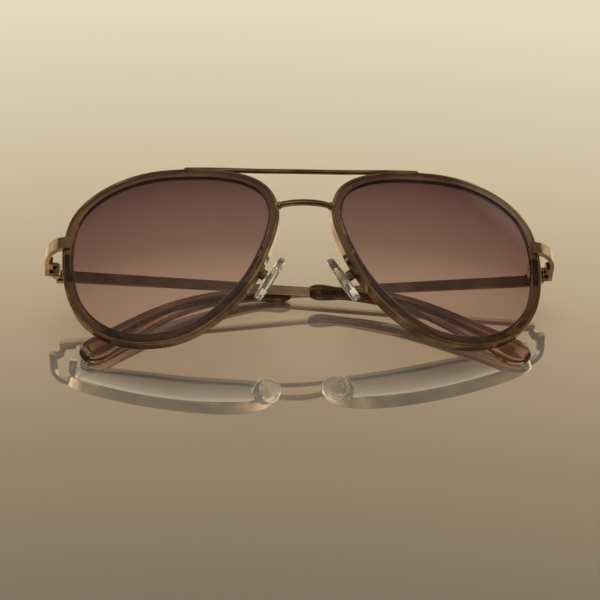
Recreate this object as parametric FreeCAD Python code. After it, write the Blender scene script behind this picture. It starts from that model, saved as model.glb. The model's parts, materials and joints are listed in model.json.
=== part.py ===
# Aviator sunglasses with a double bridge, folded and lying on their temples. Millimetres.
#
# Each piece is drawn in the worn frame: X to the wearer's left, Y back towards the ears, Z up,
# with the origin between the lenses. Pieces with a twin are drawn for the wearer's left and
# mirrored. The temples are then folded about their hinge screws and the whole pair is laid on
# a table, front leaning back, on both temple tips and the middle of the outer temple.
import FreeCAD, Part
import math
import os
from FreeCAD import Placement, Rotation, Vector

# Front: lens outline, clockwise from the top, as (towards the temple, up) from the lens centre
OUTLINE = [
    (0.0, 28.5), (10.5, 27.4), (20.6, 23.3), (28.0, 16.4), (31.1, 6.5), (31.0, -4.5),
    (28.0, -15.6), (19.0, -25.0), (6.5, -28.5), (-4.5, -27.0), (-15.8, -19.8), (-24.6, -8.8),
    (-29.9, 4.0), (-31.2, 12.8), (-28.0, 21.7), (-19.5, 26.6), (-10.0, 28.2),
]
OUTLINE_SAMPLES = 40
LENS_CENTRE_X = 38.8
LENS_CENTRE_BACK = 1.9
FACE_FORM = 9.0
PANTOSCOPIC = 9.5
LENS_RADIUS = 130.0
LENS_THICKNESS = 2.0
LENS_SEAT = 0.6
EYEWIRE_WIDTH = 1.0
EYEWIRE_DEPTH = 3.2
EYEWIRE_ROUND = 0.3
INNER_RIM_WIDTH = 2.3
INNER_RIM_DEPTH = 3.0
INNER_RIM_ROUND = 0.55

# Rim lock: the eyewire is split and its two ends carry a block each, drawn together by a screw
LOCK_UP = 1.5
LOCK_SPLIT = 0.2
LOCK_BLOCK_HEIGHT = 2.0
LOCK_WIDTH = 2.2
LOCK_DEPTH = 3.6
LOCK_INSET = 1.1
RIM_SCREW_RADIUS = 0.6

# Wires across the front. A station is (share of the reach, up, forward).
TOP_BAR_DIAMETER = 1.46
TOP_BAR_REACH = 34.0
TOP_BAR_STATIONS = [(0.0, 27.5, -1.9), (0.38, 27.85, -2.45), (0.72, 28.6, -3.35), (1.0, 29.1, -4.3)]
BRIDGE_DIAMETER = 1.9
BRIDGE_REACH = 7.6
BRIDGE_STATIONS = [(0.0, 15.4, 0.5), (0.55, 15.25, 0.25), (1.0, 14.9, -0.6)]
BRIDGE_SOLDER_RADIUS = 1.2

# Endpieces and hinges
HINGE_X = 71.1
HINGE_Y = 17.2
HINGE_Z = 5.2
STRIP_THICKNESS = 1.2
STRIP_INNER_X = 73.2
ENDPIECE_FRONT_Y = 7.5
ENDPIECE_START_X = 67.0
ENDPIECE_CORNER = 5.3
ENDPIECE_RIM_HEIGHT = 4.1
ENDPIECE_RIM_Z = 7.7
BAR_HINGE_HEIGHT = 3.8
BARREL_RADIUS = 1.15
BARREL_HEIGHT = 4.2
KNUCKLE_GAP = 0.06
KNUCKLE_ROOM = 0.12
KNUCKLE_REACH = 1.38
LEAF_LENGTH = 3.6
LEAF_HEIGHT = 2.8
HINGE_SCREW_RADIUS = 0.7
RUNNING_CLEARANCE = 0.03
SCREW_HEAD_RADIUS = 0.95
SCREW_HEAD_HEIGHT = 0.45
SCREW_TAIL = 0.25
BUTT_GAP = 0.06

# Temples: a flat bar that tapers into a core wire inside a moulded tip
BAR_LENGTH = 74.2
BAR_END_HEIGHT = 2.9
BAR_THICKNESS = 1.2
CORE_HEIGHT = 1.9
CORE_THICKNESS = 1.1
CORE_IN_BAR = 2.0
CORE_LENGTH = 130.0
TEMPLE_LENGTH = 143.4
BEND_START = 74.6
BEND_RADIUS = 62.0
BEND_ANGLE_LEFT = 42.6
BEND_ANGLE_RIGHT = 37.6
TURN_IN_RADIUS = 60.0
TURN_IN_LEFT = 14.0
TURN_IN_RIGHT = 10.9
TIP_START_HEIGHT = 4.1
TIP_START_THICKNESS = 2.8
TIP_END_HEIGHT = 8.2
TIP_END_THICKNESS = 3.0
TIP_START_ROUND = 0.8
TIP_END_ROUND = 4.5
TIP_NECK_LENGTH = 14.0
TIP_GROWTH_POWER = 1.3
TIP_CORNER = 0.85

# Folding: how far each temple swings in, and how far its hinge screw leans
FOLD_LEFT = 83.5
FOLD_RIGHT = 86.7
LEAN_LEFT = -1.1
LEAN_RIGHT = 0.9

# Nose pads
PAD_CENTRE = (10.5, -7.2, -4.8)
PAD_NORMAL = (-0.83, -0.48, -0.28)
PAD_DOWN = (0.5, -0.86, 0.0)
PAD_LENGTH = 15.4
PAD_WIDTH = 7.8
PAD_THICKNESS = 2.3
PAD_ROUND = 0.95
INSERT_LENGTH = 7.4
INSERT_WIDTH = 3.6
INSERT_THICKNESS = 0.5
TONGUE_THICKNESS = 0.6
TONGUE_WIDTH = 1.1
BOX_LENGTH = 2.6
BOX_WIDTH = 2.2
BOX_DEPTH = 1.6
BOX_FLOOR = 0.4
BOX_SLOT = 0.86
BOX_ROUND = 0.3
PAD_BOX_GAP = 0.4
PAD_SCREW_RADIUS = 0.3
PAD_SCREW_HEAD = 0.55
ARM_DIAMETER = 1.0
ARM_ROOT = (11.1, 1.0, -2.0)
ARM_BACK = (11.2, 0.5, -4.4)
ARM_TURN = (13.5, -1.9, -6.0)
ARM_ENTRY_LENGTH = 1.5
ARM_ENTRY_SWAY = 0.5

# Lying on the table: a first guess, and how far apart the points of rest are
START_PITCH = -71.0
TIPS_APART = 122.0
TIPS_TO_MIDDLE = 32.0
TIP_BELOW_HINGE = 15.0


def front_point(lateral, up, forward):
    """A point of the front, given along the lens plane, in the worn frame."""
    tilt = math.radians(PANTOSCOPIC)
    back = -up * math.sin(tilt) - forward * math.cos(tilt)
    rise = up * math.cos(tilt) - forward * math.sin(tilt)
    return Vector(lateral, back, rise)


def frame_placement(origin, x_axis, y_axis, z_axis):
    """The placement that takes a local frame to the given origin and axes."""
    return Placement(FreeCAD.Matrix(
        x_axis.x, y_axis.x, z_axis.x, origin.x,
        x_axis.y, y_axis.y, z_axis.y, origin.y,
        x_axis.z, y_axis.z, z_axis.z, origin.z,
        0, 0, 0, 1))


def lens_placement():
    """Lens frame: X towards the temple, Y up in the lens plane, Z forward."""
    turn = math.radians(FACE_FORM)
    across = front_point(math.cos(turn), 0, -math.sin(turn))
    forward = front_point(math.sin(turn), 0, math.cos(turn))
    centre = front_point(LENS_CENTRE_X, 0, -LENS_CENTRE_BACK)
    return frame_placement(centre, across, front_point(0, 1, 0), forward)


def placed(shape, placement):
    moved = shape.copy()
    moved.Placement = placement.multiply(moved.Placement)
    return moved


def largest(shape):
    """The biggest solid of a cut, without the crumbs beside it."""
    return max(shape.Solids, key=lambda solid: solid.Volume)


def box_between(low, high):
    size = Vector(*high) - Vector(*low)
    return Part.makeBox(size.x, size.y, size.z, Vector(*low))


# ---------------------------------------------------------------- rims and lenses

def outline_curve():
    curve = Part.BSplineCurve()
    curve.interpolate(Points=[Vector(x, y, 0) for x, y in OUTLINE], PeriodicFlag=True)
    return curve


def inset_prism(inset, low=-14.0, high=6.0):
    """The lens outline drawn in by inset, as a prism along the lens axis."""
    curve = outline_curve()
    first = curve.FirstParameter
    span = curve.LastParameter - first
    points = []
    for index in range(OUTLINE_SAMPLES):
        at = first + span * index / OUTLINE_SAMPLES
        tangent = curve.tangent(at)[0]
        inward = Vector(tangent.y, -tangent.x, 0)
        points.append(curve.value(at) + inward * inset + Vector(0, 0, low))
    inner = Part.BSplineCurve()
    inner.interpolate(Points=points, PeriodicFlag=True)
    face = Part.Face(Part.Wire(inner.toShape()))
    return face.extrude(Vector(0, 0, high - low))


def lens_ball(offset):
    """A ball whose front surface lies offset in front of the lens's middle surface."""
    ball = Part.makeSphere(LENS_RADIUS + offset)
    ball.rotate(Vector(0, 0, 0), Vector(1, 0, 0), 90)
    ball.translate(Vector(0, 0, -LENS_RADIUS))
    return ball


def between_balls(prism, depth):
    return prism.common(lens_ball(depth / 2)).cut(lens_ball(-depth / 2))


def rounded(shape, radius, smallest):
    """Round the long edges, those that run right round the rim."""
    edges = [edge for edge in shape.Edges if edge.Length > smallest]
    return shape.makeFillet(radius, edges)


def make_lens():
    prism = inset_prism(EYEWIRE_WIDTH + INNER_RIM_WIDTH - LENS_SEAT)
    return between_balls(prism, LENS_THICKNESS)


def make_inner_rim(lens):
    ring = inset_prism(EYEWIRE_WIDTH).cut(inset_prism(EYEWIRE_WIDTH + INNER_RIM_WIDTH))
    solid = largest(between_balls(ring, INNER_RIM_DEPTH))
    inner_edges = sorted(solid.Edges, key=lambda edge: edge.Length)
    inner_edges = [edge for edge in inner_edges if edge.Length > 20][:2]
    solid = solid.makeFillet(INNER_RIM_ROUND, inner_edges)
    return largest(solid.cut(lens))


def make_eyewire():
    ring = inset_prism(0).cut(inset_prism(EYEWIRE_WIDTH))
    solid = largest(between_balls(ring, EYEWIRE_DEPTH))
    solid = rounded(solid, EYEWIRE_ROUND, 20)
    split = box_between((0, LOCK_UP - LOCK_SPLIT / 2, -14), (60, LOCK_UP + LOCK_SPLIT / 2, 6))
    return largest(solid.cut(split))


def lock_screw_place():
    """Where the rim lock's screw stands in the lens frame, at the split."""
    curve = outline_curve()
    side = max(curve.value(curve.FirstParameter
                           + (curve.LastParameter - curve.FirstParameter) * step / 400).x
               for step in range(400))
    sag = side ** 2 / (2 * LENS_RADIUS)
    back = -sag - EYEWIRE_DEPTH / 2 - LOCK_DEPTH / 2
    return Vector(side - LOCK_INSET, LOCK_UP, back)


def make_lock(eyewire):
    """Upper block, lower block and screw, in the lens frame."""
    place = lock_screw_place()
    half = LOCK_WIDTH / 2
    behind_rim = lens_ball(-EYEWIRE_DEPTH / 2)
    reach = LOCK_DEPTH / 2 + EYEWIRE_DEPTH
    blocks = []
    for sign in (1, -1):
        near = LOCK_UP + sign * LOCK_SPLIT / 2
        far = near + sign * LOCK_BLOCK_HEIGHT
        block = box_between(
            (place.x - half, min(near, far), place.z - LOCK_DEPTH / 2),
            (place.x + half, max(near, far), place.z + reach))
        blocks.append(largest(block.common(behind_rim).cut(eyewire)))
    total = 2 * LOCK_BLOCK_HEIGHT + LOCK_SPLIT
    foot = place - Vector(0, total / 2 - 0.1, 0)
    radius = RIM_SCREW_RADIUS
    length = total - 0.1
    shank = Part.makeCylinder(radius, length, foot, Vector(0, 1, 0))
    hole = Part.makeCylinder(radius + RUNNING_CLEARANCE, total + 2,
                             foot - Vector(0, 1, 0), Vector(0, 1, 0))
    head_foot = place + Vector(0, total / 2, 0)
    screw = slotted_screw(shank, head_foot, Vector(0, 1, 0), Vector(1, 0, 0))
    return blocks[0].cut(hole), blocks[1].cut(hole), screw


def slotted_screw(shank, head_foot, along, slot_along, head=SCREW_HEAD_RADIUS):
    """A shank with a low round head and a driver slot."""
    height = SCREW_HEAD_HEIGHT * head / SCREW_HEAD_RADIUS
    cap = Part.makeCylinder(head, height, head_foot, along)
    cap = cap.makeFillet(height * 0.45, [edge for edge in cap.Edges
                                         if edge.CenterOfMass.distanceToPoint(
                                             head_foot + along * height) < 0.01])
    across = along.cross(slot_along)
    slot = Part.makeBox(3 * head, head * 0.3, height)
    slot.translate(Vector(-1.5 * head, -0.15 * head, 0))
    slot = placed(slot, frame_placement(head_foot + along * height * 0.5,
                                        slot_along, across, along))
    return largest(shank.fuse(cap).removeSplitter().cut(slot))


# ---------------------------------------------------------------- wires across the front

def swept_wire(points, diameter, start_tangent=None, end_tangent=None):
    """A round wire swept along a smooth curve through the points."""
    curve = Part.BSplineCurve()
    if start_tangent is None:
        curve.interpolate(points)
    else:
        curve.interpolate(Points=points, InitialTangent=start_tangent, FinalTangent=end_tangent)
    spine = Part.Wire(curve.toShape())
    heading = curve.tangent(curve.FirstParameter)[0]
    ring = Part.Wire(Part.makeCircle(diameter / 2, points[0], heading))
    return spine.makePipeShell([ring], True, True)


def wire_points(reach, stations):
    """Points of a wire that crosses the front, from right to left."""
    half = [(share * reach, up, forward) for share, up, forward in stations]
    points = [front_point(-x, up, forward) for x, up, forward in reversed(half[1:])]
    return points + [front_point(*point) for point in half]


def make_top_bar(rims):
    points = wire_points(TOP_BAR_REACH, TOP_BAR_STATIONS)
    bar = swept_wire(points, TOP_BAR_DIAMETER)
    for end in (points[0], points[-1]):
        bar = bar.fuse(Part.makeSphere(TOP_BAR_DIAMETER / 2, end))
    return cut_by(bar, rims)


def make_bridge(rims):
    """The lower wire, with a bead of solder where it meets each rim."""
    points = wire_points(BRIDGE_REACH, BRIDGE_STATIONS)
    bridge = swept_wire(points, BRIDGE_DIAMETER)
    for end in (points[0], points[-1]):
        bridge = bridge.fuse(Part.makeSphere(BRIDGE_SOLDER_RADIUS, end))
    return cut_by(bridge, rims)


def cut_by(shape, tools):
    for tool in tools:
        shape = shape.cut(tool)
    return largest(shape)


# ---------------------------------------------------------------- endpiece and hinge

def strip_centre_x():
    return STRIP_INNER_X + STRIP_THICKNESS / 2


def make_endpiece():
    """A strip soldered to the front of the eyewire that wraps back to the hinge."""
    outer_x = STRIP_INNER_X + STRIP_THICKNESS
    outer_r = ENDPIECE_CORNER + STRIP_THICKNESS / 2
    inner_r = ENDPIECE_CORNER - STRIP_THICKNESS / 2
    centre = Vector(strip_centre_x() - ENDPIECE_CORNER, ENDPIECE_FRONT_Y + ENDPIECE_CORNER, 0)
    diagonal = Vector(math.sqrt(0.5), -math.sqrt(0.5), 0)
    front_y = ENDPIECE_FRONT_Y - STRIP_THICKNESS / 2
    back_y = ENDPIECE_FRONT_Y + STRIP_THICKNESS / 2
    corners = [
        Vector(ENDPIECE_START_X, back_y, 0), Vector(ENDPIECE_START_X, front_y, 0),
        Vector(centre.x, front_y, 0), Vector(outer_x, centre.y, 0),
        Vector(outer_x, HINGE_Y, 0), Vector(STRIP_INNER_X, HINGE_Y, 0),
        Vector(STRIP_INNER_X, centre.y, 0), Vector(centre.x, back_y, 0),
    ]
    outer_arc = Part.Arc(corners[2], centre + diagonal * outer_r, corners[3]).toShape()
    inner_arc = Part.Arc(corners[6], centre + diagonal * inner_r, corners[7]).toShape()
    pairs = [(0, 1), (1, 2), (3, 4), (4, 5), (5, 6), (7, 0)]
    lines = [Part.makeLine(corners[a], corners[b]) for a, b in pairs]
    plan = Part.Face(Part.Wire([lines[0], lines[1], outer_arc, lines[2], lines[3],
                                lines[4], inner_arc, lines[5]]))
    strip = plan.extrude(Vector(0, 0, 20))
    strip.translate(Vector(0, 0, -5))
    rim_half = ENDPIECE_RIM_HEIGHT / 2
    hinge_half = BAR_HINGE_HEIGHT / 2
    side = Part.makePolygon([
        Vector(60, front_y - 1, ENDPIECE_RIM_Z + rim_half),
        Vector(60, HINGE_Y, HINGE_Z + hinge_half),
        Vector(60, HINGE_Y, HINGE_Z - hinge_half),
        Vector(60, front_y - 1, ENDPIECE_RIM_Z - rim_half),
        Vector(60, front_y - 1, ENDPIECE_RIM_Z + rim_half),
    ])
    strip = strip.common(Part.Face(side).extrude(Vector(20, 0, 0)))
    return strip


def knuckle_bounds():
    """Low and high ends of the three knuckles, from the bottom."""
    low = HINGE_Z - BARREL_HEIGHT / 2
    each = (BARREL_HEIGHT - 2 * KNUCKLE_GAP) / 3
    return [(low + n * (each + KNUCKLE_GAP), low + n * (each + KNUCKLE_GAP) + each)
            for n in range(3)]


def hinge_cylinder(radius, low, high):
    return Part.makeCylinder(radius, high - low, Vector(HINGE_X, HINGE_Y, low))


def make_leaf(knuckles, facing):
    """A leaf soldered to the inside of a strip, with its knuckles. Facing is +1 for the
    temple's leaf, behind the screw, and -1 for the front's leaf."""
    bounds = knuckle_bounds()
    near = HINGE_Y + facing * BUTT_GAP
    far = HINGE_Y + facing * (BARREL_RADIUS + LEAF_LENGTH)
    inner_x = HINGE_X + BARREL_RADIUS * 0.9
    half = LEAF_HEIGHT / 2
    plate = box_between(
        (inner_x, min(near + facing * BARREL_RADIUS, far), HINGE_Z - half),
        (STRIP_INNER_X, max(near + facing * BARREL_RADIUS, far), HINGE_Z + half))
    solid = plate
    for n in knuckles:
        low, high = bounds[n]
        web = box_between(
            (HINGE_X, min(near, near + facing * KNUCKLE_REACH), low),
            (STRIP_INNER_X, max(near, near + facing * KNUCKLE_REACH), high))
        solid = solid.fuse([hinge_cylinder(BARREL_RADIUS, low, high), web])
    for n in range(3):
        if n not in knuckles:
            low, high = bounds[n]
            room = hinge_cylinder(BARREL_RADIUS + KNUCKLE_ROOM, low - KNUCKLE_GAP, high + KNUCKLE_GAP)
            solid = solid.cut(room)
    bottom, top = bounds[0][0], bounds[2][1]
    bore = hinge_cylinder(HINGE_SCREW_RADIUS + RUNNING_CLEARANCE, bottom - 1, top + 1)
    return largest(solid.cut(bore).removeSplitter())


def make_hinge_screw():
    bounds = knuckle_bounds()
    bottom, top = bounds[0][0], bounds[2][1]
    shank = hinge_cylinder(HINGE_SCREW_RADIUS, bottom - SCREW_TAIL, top)
    return slotted_screw(shank, Vector(HINGE_X, HINGE_Y, top), Vector(0, 0, 1), Vector(0, 1, 0))


def lean(shape, angle):
    """Lean a hinge-side piece about the hinge, so that the folded temple points lower."""
    leaned = shape.copy()
    leaned.rotate(Vector(HINGE_X, HINGE_Y, HINGE_Z), Vector(0, 1, 0), -angle)
    return leaned


# ---------------------------------------------------------------- temples

def bend_off(past, radius, angle):
    """How far a line has gone ahead and aside, past the start of a bend that then runs on
    straight."""
    turn = math.radians(angle)
    on_bend = max(0.0, min(past / radius, turn))
    beyond = max(0.0, past - radius * turn)
    return (min(past, 0.0) + radius * math.sin(on_bend) + beyond * math.cos(turn),
            radius * (1 - math.cos(on_bend)) + beyond * math.sin(turn))


def temple_centre(along, bend_angle, turn_in):
    """A point of the open temple's centre line, at a distance along it from the hinge."""
    past = along - BEND_START
    ahead, drop = bend_off(past, BEND_RADIUS, bend_angle)
    inward = bend_off(past, TURN_IN_RADIUS, turn_in)[1]
    return Vector(strip_centre_x() - inward, HINGE_Y + BUTT_GAP + BEND_START + ahead,
                  HINGE_Z - drop)


def temple_section(bend, along, height, thickness, corner):
    """A rounded rectangle across the temple."""
    centre = temple_centre(along, *bend)
    ahead = temple_centre(along + 0.2, *bend)
    heading = (ahead - temple_centre(along - 0.2, *bend)).normalize()
    across = (Vector(1, 0, 0) - heading * heading.x).normalize()
    upward = across.cross(heading)
    half_h = height / 2
    half_t = thickness / 2
    r = corner * half_t
    bow = r * (1 - math.sqrt(0.5))
    place = frame_placement(centre, across, upward, heading)
    edges = []
    for turn in range(4):
        sx, sy = [(1, 1), (-1, 1), (-1, -1), (1, -1)][turn]
        start = Vector(sx * half_t, sy * (half_h - r), 0)
        middle = Vector(sx * (half_t - bow), sy * (half_h - bow), 0)
        end = Vector(sx * (half_t - r), sy * half_h, 0)
        if turn % 2:
            start, end = end, start
        edges.append((start, middle, end))
    wire_edges = []
    for turn in range(4):
        start, middle, end = edges[turn]
        following = edges[(turn + 1) % 4][0]
        wire_edges.append(Part.Arc(start, middle, end).toShape())
        wire_edges.append(Part.makeLine(end, following))
    return placed(Part.Wire(wire_edges), place)


def loft(bend, sections):
    wires = [temple_section(bend, *section) for section in sections]
    return Part.makeLoft(wires, True, False)


def make_core(bend):
    start = BAR_LENGTH - CORE_IN_BAR
    stations = [start + (CORE_LENGTH - start) * step / 5 for step in range(6)]
    sections = [(along, CORE_HEIGHT, CORE_THICKNESS, 0.8) for along in stations]
    return loft(bend, sections)


def make_temple_bar(core, bend):
    bar = loft(bend, [
        (0.0, BAR_HINGE_HEIGHT, BAR_THICKNESS, 0.35),
        (BAR_LENGTH * 0.5, (BAR_HINGE_HEIGHT + BAR_END_HEIGHT) / 2, BAR_THICKNESS, 0.45),
        (BAR_LENGTH, BAR_END_HEIGHT, BAR_THICKNESS, 0.6),
    ])
    return bar.fuse(core).removeSplitter()


def make_temple_tip(core, bend):
    """A short lead-in, a neck of even size, a paddle that grows, and a round end."""
    neck_start = BAR_LENGTH + TIP_START_ROUND
    neck_end = neck_start + TIP_NECK_LENGTH
    full = TEMPLE_LENGTH - 2 * TIP_END_ROUND
    sections = [(BAR_LENGTH, TIP_START_HEIGHT - TIP_START_ROUND,
                 TIP_START_THICKNESS - TIP_START_ROUND, TIP_CORNER)]
    for step in range(3):
        along = neck_start + TIP_NECK_LENGTH * step / 2
        sections.append((along, TIP_START_HEIGHT, TIP_START_THICKNESS, TIP_CORNER))
    for step in range(1, 6):
        share = step / 5
        height = (TIP_START_HEIGHT
                  + (TIP_END_HEIGHT - TIP_START_HEIGHT) * share ** TIP_GROWTH_POWER)
        thick = TIP_START_THICKNESS + (TIP_END_THICKNESS - TIP_START_THICKNESS) * share
        along = neck_end + (full - neck_end) * share
        sections.append((along, height, thick, TIP_CORNER))
    for share in (0.5, 0.8, 0.95, 0.995):
        shrink = math.sqrt(1 - share ** 2)
        along = TEMPLE_LENGTH - TIP_END_ROUND * (1 - share)
        sections.append((along, TIP_END_HEIGHT * shrink, TIP_END_THICKNESS * shrink, TIP_CORNER))
    tip = loft(bend, sections)
    return largest(tip.cut(core))


# ---------------------------------------------------------------- nose pads

def pad_placement():
    """Pad frame: X down the pad's length, Z out of its nose side."""
    outward = front_point(*PAD_NORMAL).normalize()
    down = front_point(*PAD_DOWN)
    down = (down - outward * down.dot(outward)).normalize()
    return frame_placement(front_point(*PAD_CENTRE), down, outward.cross(down), outward)


def ellipse_plate(length, width, low, high):
    ellipse = Part.Ellipse(Vector(0, 0, low), length / 2, width / 2)
    face = Part.Face(Part.Wire(ellipse.toShape()))
    return face.extrude(Vector(0, 0, high - low))


def pad_pivot_depth():
    return PAD_THICKNESS / 2 + PAD_BOX_GAP + (BOX_DEPTH - BOX_FLOOR) / 2


def make_insert():
    plate = ellipse_plate(INSERT_LENGTH, INSERT_WIDTH, -INSERT_THICKNESS / 2, INSERT_THICKNESS / 2)
    depth = pad_pivot_depth()
    half = TONGUE_THICKNESS / 2
    tongue = box_between((-TONGUE_WIDTH / 2, -half, -depth), (TONGUE_WIDTH / 2, half, 0))
    eye = Part.makeCylinder(TONGUE_WIDTH / 2, TONGUE_THICKNESS, Vector(0, -half, -depth),
                            Vector(0, 1, 0))
    solid = plate.fuse([tongue, eye])
    hole = Part.makeCylinder(PAD_SCREW_RADIUS + RUNNING_CLEARANCE, 4, Vector(0, -2, -depth),
                             Vector(0, 1, 0))
    return largest(solid.cut(hole).removeSplitter())


def make_pad(insert):
    half = PAD_THICKNESS / 2
    pad = ellipse_plate(PAD_LENGTH, PAD_WIDTH, -half, half)
    rims = [edge for edge in pad.Edges if edge.Length > PAD_WIDTH]
    pad = pad.makeFillet(PAD_ROUND, rims)
    return largest(pad.cut(insert))


def make_pad_box():
    top = -PAD_THICKNESS / 2 - PAD_BOX_GAP
    box = box_between((-BOX_LENGTH / 2, -BOX_WIDTH / 2, top - BOX_DEPTH),
                      (BOX_LENGTH / 2, BOX_WIDTH / 2, top))
    edges = [edge for edge in box.Edges if abs(edge.tangentAt(0).z) > 0.9]
    box = box.makeFillet(BOX_ROUND, edges)
    slot = box_between((-BOX_LENGTH, -BOX_SLOT / 2, top - BOX_DEPTH + BOX_FLOOR),
                       (BOX_LENGTH, BOX_SLOT / 2, top + 1))
    bore = Part.makeCylinder(PAD_SCREW_RADIUS, 6, Vector(0, -3, -pad_pivot_depth()),
                             Vector(0, 1, 0))
    return largest(box.cut(slot).cut(bore))


def make_pad_screw():
    depth = pad_pivot_depth()
    foot = Vector(0, BOX_WIDTH / 2, -depth)
    shank = Part.makeCylinder(PAD_SCREW_RADIUS, BOX_WIDTH, Vector(0, -BOX_WIDTH / 2, -depth),
                              Vector(0, 1, 0))
    return slotted_screw(shank, foot, Vector(0, 1, 0), Vector(1, 0, 0), PAD_SCREW_HEAD)


def make_pad_arm(pad_box, rims):
    place = pad_placement()
    back = -PAD_THICKNESS / 2 - PAD_BOX_GAP - BOX_DEPTH
    entry = place.multVec(Vector(0, 0, back))
    approach = place.multVec(Vector(-ARM_ENTRY_SWAY, 0, back - ARM_ENTRY_LENGTH))
    points = [front_point(*ARM_ROOT), front_point(*ARM_BACK), front_point(*ARM_TURN),
              approach, entry]
    wire = swept_wire(points, ARM_DIAMETER)
    return cut_by(wire, [pad_box] + rims)


# ---------------------------------------------------------------- the whole pair

def build_front():
    """The front's left half with its pad, in the worn frame, without the endpiece."""
    lens_place = lens_placement()
    lens = make_lens()
    eyewire = make_eyewire()
    upper, lower, rim_screw = make_lock(eyewire)
    front = {
        "lens": lens, "inner_rim": make_inner_rim(lens), "rim": eyewire,
        "closing_block_upper": upper, "closing_block_lower": lower, "rim_screw": rim_screw,
    }
    pieces = {name: placed(shape, lens_place) for name, shape in front.items()}
    pad_place = pad_placement()
    insert = make_insert()
    pad_box = placed(make_pad_box(), pad_place)
    pieces["pad_insert"] = placed(insert, pad_place)
    pieces["nose_pad"] = placed(make_pad(insert), pad_place)
    pieces["pad_screw"] = placed(make_pad_screw(), pad_place)
    pieces["pad_box"] = pad_box
    pieces["pad_arm"] = make_pad_arm(pad_box, [pieces["rim"], pieces["inner_rim"]])
    return pieces


def build_hinge_side(front, angle, bend):
    """The endpiece, hinge and open temple of a left side whose hinge screw leans by angle
    and whose tip has the given bend: its angles down and inwards."""
    core = make_core(bend)
    pieces = {
        "endpiece": make_endpiece(),
        "hinge_front_leaf": make_leaf([0, 2], -1),
        "hinge_screw": make_hinge_screw(),
        "hinge_temple_leaf": make_leaf([1], 1),
        "temple_bar": make_temple_bar(core, bend),
        "temple_tip": make_temple_tip(core, bend),
    }
    pieces = {name: lean(shape, angle) for name, shape in pieces.items()}
    carriers = [front[name] for name in ("rim", "inner_rim", "closing_block_upper")]
    pieces["endpiece"] = cut_by(pieces["endpiece"], carriers)
    return pieces


def hinge_axis(angle):
    return Rotation(Vector(0, 1, 0), -angle).multVec(Vector(0, 0, 1))


TEMPLE_PIECES = ("hinge_temple_leaf", "temple_bar", "temple_tip")


def build_worn():
    """All pieces with the temples folded, front upright, and the joint axes."""
    nodes = {}
    joints = {}
    centre = Vector(HINGE_X, HINGE_Y, HINGE_Z)
    pad_place = pad_placement()
    pad_pivot = pad_place.multVec(Vector(0, 0, -pad_pivot_depth()))
    pad_axis = pad_place.Rotation.multVec(Vector(0, 1, 0))
    front = build_front()
    for side, angle, fold, bend in (
            ("left", LEAN_LEFT, FOLD_LEFT, (BEND_ANGLE_LEFT, TURN_IN_LEFT)),
            ("right", LEAN_RIGHT, FOLD_RIGHT, (BEND_ANGLE_RIGHT, TURN_IN_RIGHT))):
        axis = hinge_axis(angle)
        pieces = dict(front)
        pieces.update(build_hinge_side(front, angle, bend))
        for name, shape in pieces.items():
            if name in TEMPLE_PIECES:
                shape.rotate(centre, axis, fold)
            if side == "right":
                shape = shape.mirror(Vector(0, 0, 0), Vector(1, 0, 0))
            nodes[name + "_" + side] = shape
        flip = 1 if side == "left" else -1
        joints["temple_" + side] = (Vector(flip * centre.x, centre.y, centre.z),
                                    Vector(flip * axis.x, axis.y, axis.z))
        joints["pad_" + side] = (Vector(flip * pad_pivot.x, pad_pivot.y, pad_pivot.z),
                                 Vector(flip * pad_axis.x, pad_axis.y, pad_axis.z))
    rims = [nodes[name] for name in ("rim_left", "rim_right", "inner_rim_left",
                                     "inner_rim_right")]
    nodes["top_bar"] = make_top_bar(rims)
    nodes["bridge"] = make_bridge(rims)
    return nodes, joints


def surface_points(shape):
    return [Vector(point) for point in shape.tessellate(0.02)[0]]


def lowest(points, rotation):
    return min(rotation.multVec(point).z for point in points)


def lying_rotation(nodes):
    """Pitch the front back until the tips are as low as the outer temple's middle, and roll
    the pair until both tips touch."""
    outer = surface_points(nodes["temple_tip_left"])
    inner = surface_points(nodes["temple_tip_right"])
    split = HINGE_Z - TIP_BELOW_HINGE
    left_tip = [point for point in outer if point.z < split]
    right_tip = [point for point in inner if point.z < split]
    middle = [point for point in outer + surface_points(nodes["temple_bar_left"])
              if point.z > split]
    pitch, roll = START_PITCH, 0.0
    for _ in range(16):
        rotation = Rotation(Vector(0, 1, 0), roll).multiply(Rotation(Vector(1, 0, 0), pitch))
        left, right = lowest(left_tip, rotation), lowest(right_tip, rotation)
        roll += math.degrees((right - left) / TIPS_APART) * 0.9
        centre = lowest(middle, rotation)
        pitch += math.degrees(((left + right) / 2 - centre) / TIPS_TO_MIDDLE) * 0.8
    return Rotation(Vector(0, 1, 0), roll).multiply(Rotation(Vector(1, 0, 0), pitch))


def build():
    """The finished nodes and joints, lying on the table at z = 0, centred in plan."""
    nodes, joints = build_worn()
    turn = Placement(Vector(0, 0, 0), lying_rotation(nodes))
    nodes = {name: placed(shape, turn) for name, shape in nodes.items()}
    box = FreeCAD.BoundBox()
    for shape in nodes.values():
        for point in shape.tessellate(0.1)[0]:
            box.add(point)
    shift = Placement(Vector(-box.Center.x, -box.Center.y, -box.ZMin), Rotation())
    nodes = {name: placed(shape, shift) for name, shape in nodes.items()}
    whole = shift.multiply(turn)
    joints = {name: (whole.multVec(point), turn.Rotation.multVec(axis))
              for name, (point, axis) in joints.items()}
    return nodes, joints


NODES, JOINTS = build()
os.makedirs("parts", exist_ok=True)
for node_name, node_shape in NODES.items():
    node_shape.exportStep("parts/" + node_name + ".step")
print(len(NODES), "nodes written")
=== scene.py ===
import json
import math

import bpy
from mathutils import Matrix, Vector


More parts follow.
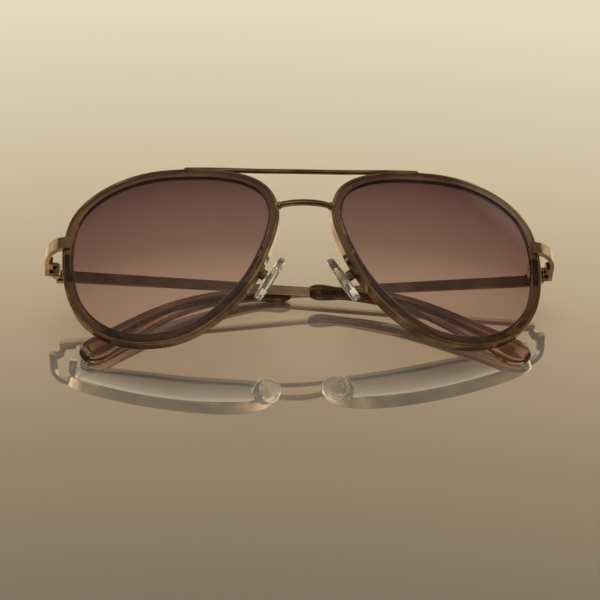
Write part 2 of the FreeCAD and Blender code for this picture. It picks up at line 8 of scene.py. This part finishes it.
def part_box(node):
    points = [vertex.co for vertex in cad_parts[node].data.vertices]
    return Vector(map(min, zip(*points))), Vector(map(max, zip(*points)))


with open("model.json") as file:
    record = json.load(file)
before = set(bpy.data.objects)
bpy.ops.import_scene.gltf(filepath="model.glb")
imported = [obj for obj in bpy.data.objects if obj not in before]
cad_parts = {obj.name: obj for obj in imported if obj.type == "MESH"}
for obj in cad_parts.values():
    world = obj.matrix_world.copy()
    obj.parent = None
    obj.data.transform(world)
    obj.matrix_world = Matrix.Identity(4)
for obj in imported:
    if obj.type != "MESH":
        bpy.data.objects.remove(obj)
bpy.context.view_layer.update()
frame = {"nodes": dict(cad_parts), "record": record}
nodes = frame["nodes"]
print("frame loaded:", len(nodes), "nodes")


# ---- small helpers

def deselectAll():
    if bpy.context.object and bpy.context.object.mode != "OBJECT":
        bpy.ops.object.mode_set(mode="OBJECT")
    bpy.ops.object.select_all(action="DESELECT")


def giveMaterial(piece, material):
    piece.data.materials.clear()
    piece.data.materials.append(material)


# ---- materials

def newMaterial(name):
    material = bpy.data.materials.new(name)
    material.use_nodes = True
    tree = material.node_tree
    tree.nodes.clear()
    output = tree.nodes.new("ShaderNodeOutputMaterial")
    return material, tree, output


def addNode(tree, kind, **values):
    node = tree.nodes.new(kind)
    for name, value in values.items():
        setattr(node, name, value)
    return node


def objectNoise(tree, scale, detail=3.0, stretch=(1, 1, 1)):
    # noise that sits still on the piece, stretched along one direction for brushed marks
    place = addNode(tree, "ShaderNodeTexCoord")
    mapping = addNode(tree, "ShaderNodeMapping")
    mapping.inputs["Scale"].default_value = stretch
    noise = addNode(tree, "ShaderNodeTexNoise")
    noise.inputs["Scale"].default_value = scale
    noise.inputs["Detail"].default_value = detail
    tree.links.new(place.outputs["Object"], mapping.inputs["Vector"])
    tree.links.new(mapping.outputs["Vector"], noise.inputs["Vector"])
    return noise


def colourRamp(tree, source, stops):
    ramp = addNode(tree, "ShaderNodeValToRGB")
    elements = ramp.color_ramp.elements
    while len(elements) < len(stops):
        elements.new(0.5)
    for element, (place, colour) in zip(elements, stops):
        element.position = place
        element.color = (*colour, 1)
    tree.links.new(source, ramp.inputs["Fac"])
    return ramp


def valueRange(tree, source, low, high, fromLow=0.3, fromHigh=0.7):
    # noise mostly lies between 0.3 and 0.7
    spread = addNode(tree, "ShaderNodeMapRange")
    spread.inputs["From Min"].default_value = fromLow
    spread.inputs["From Max"].default_value = fromHigh
    spread.inputs["To Min"].default_value = low
    spread.inputs["To Max"].default_value = high
    tree.links.new(source, spread.inputs["Value"])
    return spread.outputs["Result"]


def mixColours(tree, amount, first, second, way="MIX"):
    mix = addNode(tree, "ShaderNodeMixRGB", blend_type=way)
    for socket, value in (("Fac", amount), ("Color1", first), ("Color2", second)):
        if isinstance(value, tuple):
            mix.inputs[socket].default_value = (*value, 1)
        elif isinstance(value, float):
            mix.inputs[socket].default_value = value
        else:
            tree.links.new(value, mix.inputs[socket])
    return mix.outputs["Color"]


def bumpFrom(tree, source, distance, strength):
    bump = addNode(tree, "ShaderNodeBump")
    bump.inputs["Distance"].default_value = distance
    bump.inputs["Strength"].default_value = strength
    tree.links.new(source, bump.inputs["Height"])
    return bump.outputs["Normal"]


bronze = {
    "darkColour": (0.095, 0.056, 0.031), "midColour": (0.230, 0.145, 0.080),
    "wornColour": (0.520, 0.360, 0.220),
    "darkUpTo": 0.30, "midAt": 0.52, "wornFrom": 0.80,
    "smooth": 0.07, "rough": 0.17, "coat": 0.25, "coatRoughness": 0.06,
    "cloudScale": 110, "marksScale": 900, "marksDetail": 4.0,
    "bumpDistance": 0.00001, "bumpStrength": 0.15,
}
satinBronze = {
    **bronze,
    "darkColour": (0.300, 0.190, 0.115), "midColour": (0.460, 0.310, 0.205),
    "wornColour": (0.600, 0.430, 0.300), "smooth": 0.30, "rough": 0.42,
}
screwSteel = {
    **bronze,
    "midColour": (0.42, 0.33, 0.22), "wornColour": (0.60, 0.50, 0.36), "smooth": 0.2,
}
insertSteel = {
    **bronze,
    "darkColour": (0.45, 0.40, 0.33), "midColour": (0.60, 0.55, 0.47),
    "wornColour": (0.75, 0.70, 0.62),
}


def makeBronze(name, values):
    material, tree, output = newMaterial(name)
    shader = addNode(tree, "ShaderNodeBsdfPrincipled")
    shader.inputs["Metallic"].default_value = 1.0
    shader.inputs["Coat Weight"].default_value = values["coat"]
    shader.inputs["Coat Roughness"].default_value = values["coatRoughness"]
    clouds = objectNoise(tree, values["cloudScale"])
    marks = objectNoise(tree, values["marksScale"], values["marksDetail"])
    colours = colourRamp(tree, clouds.outputs["Fac"], [
        (values["darkUpTo"], values["darkColour"]), (values["midAt"], values["midColour"]),
        (values["wornFrom"], values["wornColour"])])
    tree.links.new(colours.outputs["Color"], shader.inputs["Base Color"])
    roughness = valueRange(tree, marks.outputs["Fac"], values["smooth"], values["rough"])
    tree.links.new(roughness, shader.inputs["Roughness"])
    normal = bumpFrom(tree, marks.outputs["Fac"], values["bumpDistance"],
                      values["bumpStrength"])
    tree.links.new(normal, shader.inputs["Normal"])
    tree.links.new(shader.outputs["BSDF"], output.inputs["Surface"])
    return material


acetate = {
    "dark": (0.075, 0.032, 0.018), "light": (0.240, 0.122, 0.072),
    "darkUpTo": 0.35, "lightFrom": 0.70,
    # edge colour and its blend, start and full: darkening toward the turned-away sides, partly
    # absorption and partly painted shade
    "edge": (0.20, 0.14, 0.11), "edgeBlend": 0.35, "edgeStart": 0.15, "edgeFull": 0.65,
    "streakScale": 60, "streakDetail": 2.0, "streakStretch": (1.0, 0.35, 0.6),
    "refraction": 1.49, "roughness": 0.02, "seeThrough": 0.95,
    "coat": 0.2, "coatRoughness": 0.02,
}
tipAcetate = {
    **acetate,
    "dark": (0.200, 0.100, 0.065), "light": (0.520, 0.330, 0.235), "edge": (0.30, 0.24, 0.20),
    "seeThrough": 0.96,
}


def letLampsThrough(tree, shader, tint):
    # lamps pass straight through, tinted, so the pale table stays lit behind
    path = addNode(tree, "ShaderNodeLightPath")
    through = addNode(tree, "ShaderNodeBsdfTransparent")
    if isinstance(tint, tuple):
        through.inputs["Color"].default_value = (*tint, 1)
    else:
        tree.links.new(tint, through.inputs["Color"])
    mix = addNode(tree, "ShaderNodeMixShader")
    tree.links.new(path.outputs["Is Shadow Ray"], mix.inputs["Fac"])
    tree.links.new(shader.outputs["BSDF"], mix.inputs[1])
    tree.links.new(through.outputs["BSDF"], mix.inputs[2])
    return mix.outputs["Shader"]


def makeAcetate(name, values):
    material, tree, output = newMaterial(name)
    shader = addNode(tree, "ShaderNodeBsdfPrincipled")
    shader.inputs["IOR"].default_value = values["refraction"]
    shader.inputs["Coat Weight"].default_value = values["coat"]
    shader.inputs["Coat Roughness"].default_value = values["coatRoughness"]
    shader.inputs["Transmission Weight"].default_value = values["seeThrough"]
    shader.inputs["Roughness"].default_value = values["roughness"]
    streaks = objectNoise(tree, values["streakScale"], values["streakDetail"],
                          values["streakStretch"])
    colours = colourRamp(tree, streaks.outputs["Fac"], [
        (values["darkUpTo"], values["dark"]), (values["lightFrom"], values["light"])])
    # the tint deepens where the eye looks through more of it, near the turned-away sides:
    # partly a stand-in for absorption, partly painted shade that makes the rim read as rounded
    facing = addNode(tree, "ShaderNodeLayerWeight")
    facing.inputs["Blend"].default_value = values["edgeBlend"]
    absorptionAndEdgeShade = colourRamp(tree, facing.outputs["Facing"], [
        (values["edgeStart"], (1, 1, 1)), (values["edgeFull"], values["edge"])])
    tinted = mixColours(tree, 1.0, colours.outputs["Color"], absorptionAndEdgeShade.outputs["Color"],
                        "MULTIPLY")
    tree.links.new(tinted, shader.inputs["Base Color"])
    surface = letLampsThrough(tree, shader, colours.outputs["Color"])
    tree.links.new(surface, output.inputs["Surface"])
    return material


lensGlass = {
    "tint": [  # share of the way up the lens, colour there
        (0.05, (0.930, 0.760, 0.750)), (0.50, (0.360, 0.235, 0.235)),
        (0.95, (0.140, 0.068, 0.068))],
    "refraction": 1.5, "roughness": 0.0, "seeThrough": 1.0,
}


def makeLens(name, values, lens):
    # the tint runs down the lens, along the leaning front
    low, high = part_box(lens)
    material, tree, output = newMaterial(name)
    shader = addNode(tree, "ShaderNodeBsdfPrincipled")
    shader.inputs["IOR"].default_value = values["refraction"]
    shader.inputs["Transmission Weight"].default_value = values["seeThrough"]
    shader.inputs["Roughness"].default_value = values["roughness"]
    place = addNode(tree, "ShaderNodeTexCoord")
    split = addNode(tree, "ShaderNodeSeparateXYZ")
    tree.links.new(place.outputs["Object"], split.inputs["Vector"])
    height = valueRange(tree, split.outputs["Y"], 0, 1, low.y, high.y)
    colours = colourRamp(tree, height, values["tint"])
    tree.links.new(colours.outputs["Color"], shader.inputs["Base Color"])
    surface = letLampsThrough(tree, shader, colours.outputs["Color"])
    tree.links.new(surface, output.inputs["Surface"])
    return material


silicone = {
    "colour": (0.96, 0.94, 0.90), "refraction": 1.41, "seeThrough": 0.97,
    "roughness": (0.012, 0.028), "hazeScale": 700,  # smoothest and roughest spots
}


def makeSilicone(name, values):
    material, tree, output = newMaterial(name)
    shader = addNode(tree, "ShaderNodeBsdfPrincipled")
    shader.inputs["IOR"].default_value = values["refraction"]
    shader.inputs["Transmission Weight"].default_value = values["seeThrough"]
    haze = objectNoise(tree, values["hazeScale"])
    roughness = valueRange(tree, haze.outputs["Fac"], *values["roughness"])
    tree.links.new(roughness, shader.inputs["Roughness"])
    shader.inputs["Base Color"].default_value = (*values["colour"], 1)
    surface = letLampsThrough(tree, shader, values["colour"])
    tree.links.new(surface, output.inputs["Surface"])
    return material


barMetal = makeBronze("satin_bronze", satinBronze)
slotMaterials = {
    "bronze_metal": makeBronze("bronze_plating", bronze),
    "screw_steel": makeBronze("screw_metal", screwSteel),
    "insert_steel": makeBronze("insert_metal", insertSteel),
    "brown_acetate": makeAcetate("brown_acetate", acetate),
    "tip_acetate": makeAcetate("tip_acetate", tipAcetate),
    "clear_silicone": makeSilicone("clear_silicone", silicone),
}
for entry in frame["record"]["subparts"]:
    node = entry["node"]
    if entry["material_slot"] == "lens_gradient":
        giveMaterial(nodes[node], makeLens("gradient_" + node, lensGlass, node))
    elif node.startswith("temple_bar"):
        giveMaterial(nodes[node], barMetal)
    else:
        giveMaterial(nodes[node], slotMaterials[entry["material_slot"]])
print("materials given")


# ---- table, light and camera

studio = {
    "floorColour": (0.920, 0.850, 0.720), "floorSize": 6.0,
    "floorRoughness": 0.03, "floorMirror": 0.82,
    "beyond": [  # colour ramp over the direction's vertical part, looking away over the table
        (0.00, (0.42, 0.36, 0.28)), (0.25, (0.55, 0.49, 0.40)), (0.40, (0.82, 0.78, 0.68)),
        (0.48, (0.60, 0.52, 0.40)), (0.54, (0.40, 0.31, 0.215)), (0.60, (0.22, 0.155, 0.10)),
        (0.67, (0.09, 0.058, 0.038)), (0.77, (0.24, 0.20, 0.155)), (1.00, (0.40, 0.35, 0.28))],
    "near": [  # the same, looking back
        (0.00, (0.075, 0.054, 0.039)), (0.50, (0.14, 0.11, 0.08)),
        (1.00, (0.40, 0.35, 0.28))],
    "nearToBeyond": (-0.60, 0.10),  # the direction's depth where one blends into the other
    "glows": [  # direction, where it starts and is full, colour
        ((-0.65, 0.65, 0.39), (0.90, 0.97), (1.45, 1.32, 1.08)),
        ((0.65, 0.65, 0.39), (0.90, 0.97), (1.45, 1.32, 1.08)),
        ((0.00, -0.60, 0.80), (0.95, 0.99), (0.95, 0.87, 0.74))],
    "lampsAimAt": (0, 0, 0.02),
    "lamps": [  # place, size, watts, colour
        ((0.0, 0.5, 1.6), (1.6, 1.2), 13.0, (1.0, 0.95, 0.86)),
        ((-1.3, 1.3, 0.75), (0.5, 0.9), 7.0, (1.0, 0.94, 0.84)),
        ((1.3, 1.3, 0.75), (0.5, 0.9), 7.0, (1.0, 0.94, 0.84)),
        ((0.0, -1.1, 1.5), (1.8, 0.5), 2.0, (1.0, 0.95, 0.88))],
}


def makeFloor(values):
    deselectAll()
    bpy.ops.mesh.primitive_plane_add(size=values["floorSize"], location=(0, 0, 0))
    floor = bpy.context.object
    floor.name = "table_top"
    material, tree, output = newMaterial("pale_table")
    shader = addNode(tree, "ShaderNodeBsdfPrincipled")
    shader.inputs["Base Color"].default_value = (*values["floorColour"], 1)
    shader.inputs["Metallic"].default_value = values["floorMirror"]
    shader.inputs["Roughness"].default_value = values["floorRoughness"]
    tree.links.new(shader.outputs["BSDF"], output.inputs["Surface"])
    giveMaterial(floor, material)


def makeLamps(values):
    # these light the matt surfaces only; what the glossy ones show comes from the surroundings
    aim = Vector(values["lampsAimAt"])
    for number, (place, size, watts, colour) in enumerate(values["lamps"]):
        deselectAll()
        bpy.ops.object.light_add(type="AREA", location=place)
        lamp = bpy.context.object
        lamp.name = "softbox_" + str(number)
        lamp.data.shape = "RECTANGLE"
        lamp.data.size, lamp.data.size_y = size
        lamp.data.energy = watts
        lamp.data.color = colour
        lamp.visible_glossy = False
        lamp.visible_transmission = False
        lamp.rotation_euler = (Vector(place) - aim).to_track_quat("Z", "Y").to_euler()


def makeSurroundings(values):
    # bright low down beyond the table, darker above it and on the near side,
    # with three soft glows
    world = bpy.data.worlds.new("studio")
    bpy.context.scene.world = world
    world.use_nodes = True
    tree = world.node_tree
    background = tree.nodes["Background"]
    place = addNode(tree, "ShaderNodeTexCoord")
    split = addNode(tree, "ShaderNodeSeparateXYZ")
    tree.links.new(place.outputs["Generated"], split.inputs["Vector"])
    far = colourRamp(tree, split.outputs["Z"], values["beyond"])
    near = colourRamp(tree, split.outputs["Z"], values["near"])
    depth = valueRange(tree, split.outputs["Y"], 0, 1, *values["nearToBeyond"])
    room = mixColours(tree, depth, near.outputs["Color"], far.outputs["Color"])
    for direction, (start, full), colour in values["glows"]:
        toward = addNode(tree, "ShaderNodeVectorMath", operation="DOT_PRODUCT")
        toward.inputs[1].default_value = Vector(direction).normalized()
        tree.links.new(place.outputs["Generated"], toward.inputs[0])
        glow = valueRange(tree, toward.outputs["Value"], 0, 1, start, full)
        room = mixColours(tree, glow, room, colour)
    tree.links.new(room, background.inputs["Color"])


camera = {
    "azimuth": -5.35, "elevation": 32.66, "roll": 2.07, "distance": 0.5366,
    "target": (-0.00093, 0.0, 0.00813), "lens": 110.7, "sensor": 36, "clip": (0.01, 20),
}


def makeCamera(values):
    azimuth, elevation = math.radians(values["azimuth"]), math.radians(values["elevation"])
    back = Vector((math.sin(azimuth) * math.cos(elevation),
                   -math.cos(azimuth) * math.cos(elevation), math.sin(elevation)))
    deselectAll()
    bpy.ops.object.camera_add(location=Vector(values["target"]) + back * values["distance"])
    viewer = bpy.context.object
    viewer.name = "camera"
    viewer.data.lens = values["lens"]
    viewer.data.sensor_width = values["sensor"]
    viewer.data.clip_start, viewer.data.clip_end = values["clip"]
    turned = (-back).to_track_quat("-Z", "Y").to_matrix() @ Matrix.Rotation(
        math.radians(values["roll"]), 3, "Z")
    viewer.rotation_euler = turned.to_euler()
    bpy.context.scene.camera = viewer


makeFloor(studio)
makeLamps(studio)
makeSurroundings(studio)
makeCamera(camera)
bpy.context.scene.view_settings.view_transform = "Standard"
print("table, lamps and camera placed")
